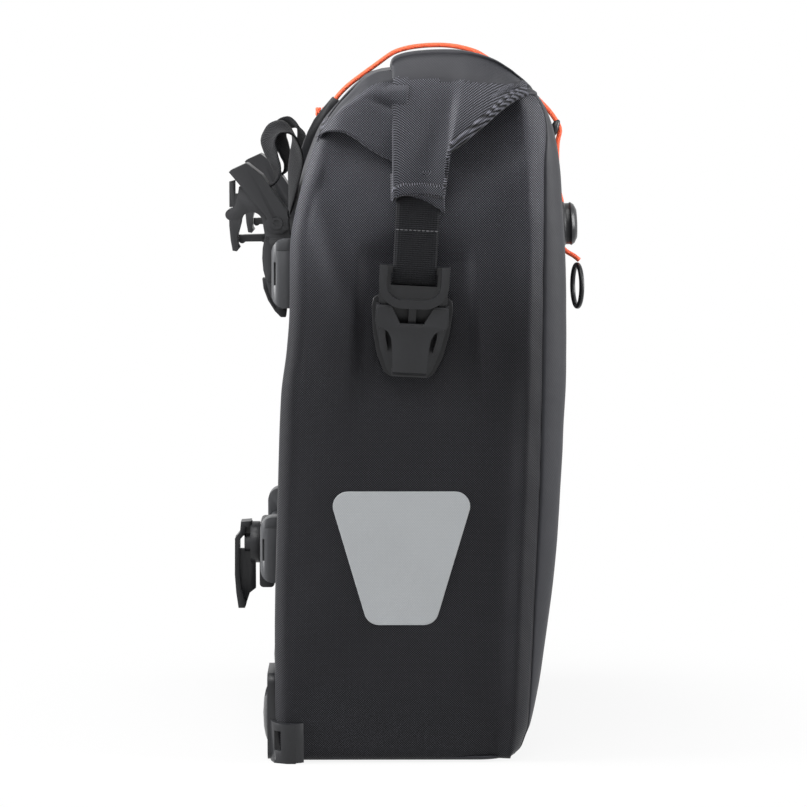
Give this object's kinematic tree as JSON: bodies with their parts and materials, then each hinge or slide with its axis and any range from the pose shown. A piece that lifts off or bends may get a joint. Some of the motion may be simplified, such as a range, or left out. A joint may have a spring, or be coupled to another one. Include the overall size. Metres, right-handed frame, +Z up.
{
  "type": "pannier bag",
  "caption": "Roll-top rear pannier bag: tapered coated-fabric box with side buckles, reflectors, elastic cord, rails, rack hooks and corner guards.",
  "frame": {"origin": "on the standing plane, under the middle of the bag with its fittings", "axes": "+Z up; +Y towards the bicycle rack; the outer face looks along -Y; +X to the right as the outer face is seen"},
  "size_m": [0.3414, 0.2171, 0.4257],
  "materials": {
    "fabric_smooth": "smooth matt coated fabric",
    "fabric_weave": "matt coated fabric with a fine woven face",
    "board_black": "plain board",
    "rail_grey": "satin",
    "plastic_dark": "satin moulded",
    "plastic_black": "satin moulded",
    "screw_steel": "satin",
    "webbing": "ribbed webbing",
    "reflective": "silver film with a fine texture",
    "ring_black": "satin",
    "cord_orange": "braided"
  },
  "bodies": {
    "bag": {"back_panel": "fabric_smooth", "side_panel_left": "fabric_weave", "side_panel_right": "fabric_weave", "front_panel": "fabric_smooth", "base_panel": "fabric_smooth", "rear_board": "board_black", "roll_closure": "fabric_smooth", "roll_end_left": "fabric_smooth", "roll_end_right": "fabric_smooth", "upper_rail": "rail_grey", "upper_rail_caps": "plastic_dark", "upper_rail_screws": "screw_steel", "lower_rail": "rail_grey", "lower_rail_caps": "plastic_dark", "lower_rail_screws": "screw_steel", "corner_guard_left": "plastic_black", "corner_guard_right": "plastic_black", "corner_guard_screws": "screw_steel", "buckle_plate_left": "plastic_black", "buckle_plate_right": "plastic_black", "buckle_socket_left": "plastic_dark", "buckle_socket_right": "plastic_dark", "closure_strap_left": "webbing", "closure_strap_right": "webbing", "reflector_left": "reflective", "reflector_right": "reflective", "cord_plate": "plastic_black", "front_stud": "plastic_black", "top_cord": "cord_orange", "ring_cord": "cord_orange"},
    "hook_left": {"hook_body_left": "plastic_dark", "hook_pins_left": "screw_steel"},
    "lever_left": {"lift_lever_left": "plastic_black"},
    "catch_left": {"catch_left": "plastic_black"},
    "lock_left": {"rail_lock_left": "plastic_black"},
    "plug_left": {"buckle_plug_left": "plastic_black"},
    "hook_right": {"hook_body_right": "plastic_dark", "hook_pins_right": "screw_steel"},
    "lever_right": {"lift_lever_right": "plastic_black"},
    "catch_right": {"catch_right": "plastic_black"},
    "lock_right": {"rail_lock_right": "plastic_black"},
    "plug_right": {"buckle_plug_right": "plastic_black"},
    "handle": {"handle_strap": "webbing"},
    "carrier": {"lower_carrier": "plastic_dark", "lower_hook_pin": "screw_steel"},
    "low_hook": {"lower_hook": "plastic_black"},
    "ring": {"pull_ring": "ring_black"}
  },
  "joints": [
    {"name": "handle_lift", "type": "slide", "parent": "bag", "child": "handle", "axis": [0, 0, 1], "range_m": [0, 0.01]},
    {"name": "hook_left_slide", "type": "slide", "parent": "bag", "child": "hook_left", "axis": [1, 0, 0], "range_m": [0, 0.04], "deforming": ["handle_strap"]},
    {"name": "lever_left_turn", "type": "hinge", "parent": "hook_left", "child": "lever_left", "pos_m": [-0.1018, 0.07732, 0.32025], "axis": [1, 0, 0], "range_deg": [0, 30]},
    {"name": "catch_left_turn", "type": "hinge", "parent": "hook_left", "child": "catch_left", "pos_m": [-0.1018, 0.08267, 0.31115], "axis": [-1, 0, 0], "range_deg": [0, 80]},
    {"name": "lock_left_turn", "type": "hinge", "parent": "hook_left", "child": "lock_left", "pos_m": [-0.1018, 0.08107, 0.28595], "axis": [1, 0, 0], "range_deg": [0, 45]},
    {"name": "plug_left_pull", "type": "slide", "parent": "bag", "child": "plug_left", "axis": [-0.1172, -0.0523, 0.9917], "range_m": [0, 0.03], "deforming": ["closure_strap_left"]},
    {"name": "hook_right_slide", "type": "slide", "parent": "bag", "child": "hook_right", "axis": [-1, 0, 0], "range_m": [0, 0.04], "deforming": ["handle_strap"]},
    {"name": "lever_right_turn", "type": "hinge", "parent": "hook_right", "child": "lever_right", "pos_m": [0.1018, 0.07732, 0.32025], "axis": [1, 0, 0], "range_deg": [0, 30]},
    {"name": "catch_right_turn", "type": "hinge", "parent": "hook_right", "child": "catch_right", "pos_m": [0.1018, 0.08267, 0.31115], "axis": [-1, 0, 0], "range_deg": [0, 80]},
    {"name": "lock_right_turn", "type": "hinge", "parent": "hook_right", "child": "lock_right", "pos_m": [0.1018, 0.08107, 0.28595], "axis": [1, 0, 0], "range_deg": [0, 45]},
    {"name": "plug_right_pull", "type": "slide", "parent": "bag", "child": "plug_right", "axis": [0.1172, -0.0523, 0.9917], "range_m": [0, 0.03], "deforming": ["closure_strap_right"]},
    {"name": "carrier_slide", "type": "slide", "parent": "bag", "child": "carrier", "axis": [1, 0, 0], "range_m": [-0.04, 0.04]},
    {"name": "low_hook_turn", "type": "hinge", "parent": "carrier", "child": "low_hook", "pos_m": [0, 0.095, 0.115], "axis": [0, 1, 0], "range_deg": [-90, 90]},
    {"name": "ring_swing", "type": "hinge", "parent": "bag", "child": "ring", "pos_m": [0, -0.1052, 0.2887], "axis": [1, 0, 0], "range_deg": [-150, 15]}
  ],
  "couplings": [
    {"joint": "lever_left_turn", "follows": "handle_lift", "rad_per_m": 52.36},
    {"joint": "catch_left_turn", "follows": "handle_lift", "rad_per_m": 139.63},
    {"joint": "lever_right_turn", "follows": "handle_lift", "rad_per_m": 52.36},
    {"joint": "catch_right_turn", "follows": "handle_lift", "rad_per_m": 139.63}
  ]
}
